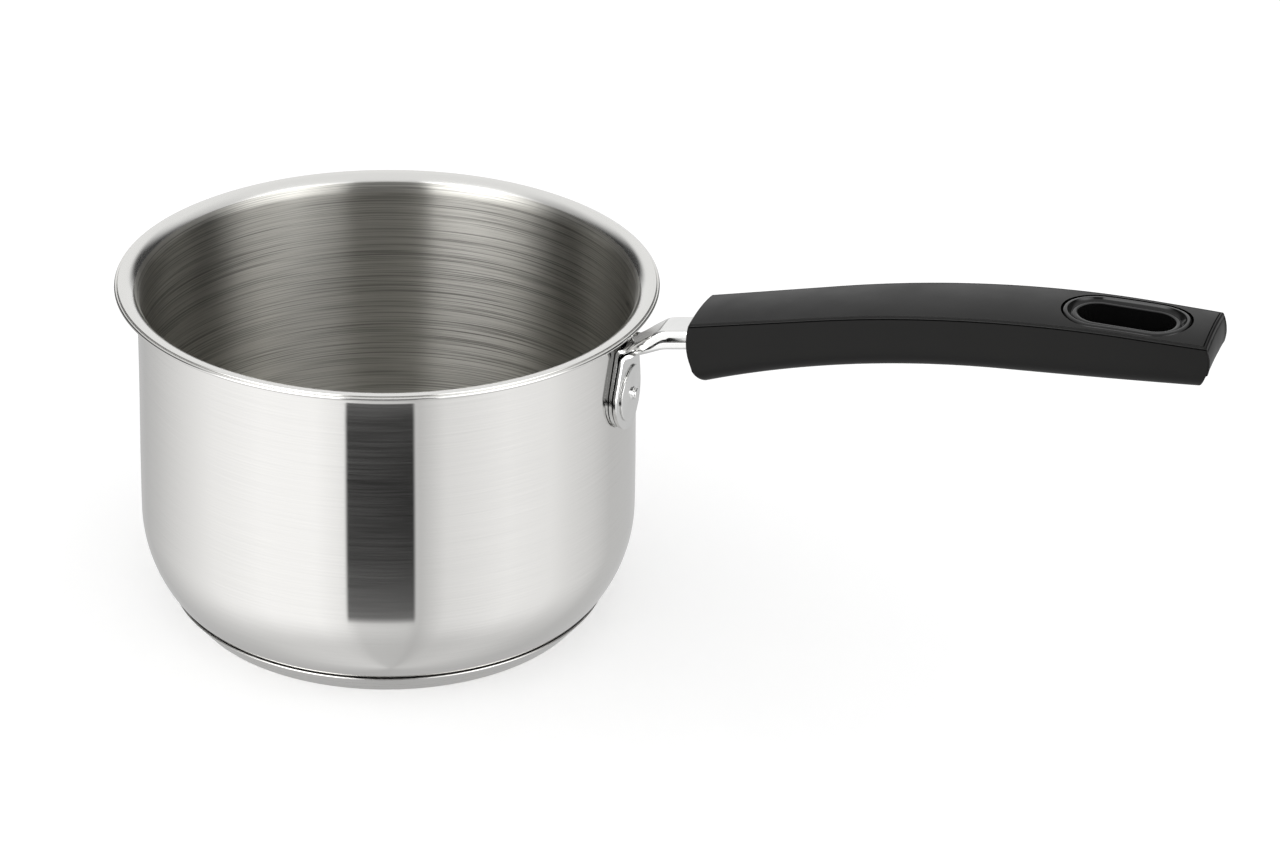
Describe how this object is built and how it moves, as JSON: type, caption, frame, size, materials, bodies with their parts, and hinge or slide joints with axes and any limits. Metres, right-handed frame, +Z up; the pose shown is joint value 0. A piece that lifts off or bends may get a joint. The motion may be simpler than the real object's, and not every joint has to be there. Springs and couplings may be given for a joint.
{
  "type": "saucepan",
  "caption": "Straight-sided stainless saucepan with a pouring rim, a capsule base and a long black handle on a riveted steel bracket.",
  "frame": {"origin": "centre of the underside of the base, where the pan rests", "axes": "+Z up along the axis of the pan, +X along the handle, +Y across it"},
  "size_m": [0.3582, 0.176, 0.1444],
  "materials": {
    "pan_steel": "satin, brushed round the pan",
    "base_steel": "satin",
    "core_aluminium": "plain",
    "bracket_steel": "polished",
    "fastener_steel": "plain",
    "grip_black": "moulded phenolic, fine satin",
    "insert_black": "glossy"
  },
  "bodies": {
    "root": {"pan_shell": "pan_steel", "base_core": "core_aluminium", "base_cap": "base_steel", "bracket_upper_strap": "bracket_steel", "bracket_lower_strap": "bracket_steel", "bracket_rivet": "bracket_steel", "tang_end_block": "fastener_steel", "handle_grip": "grip_black", "hanging_hole_insert": "insert_black", "handle_screw": "fastener_steel", "screw_washer": "fastener_steel"}
  },
  "joints": []
}
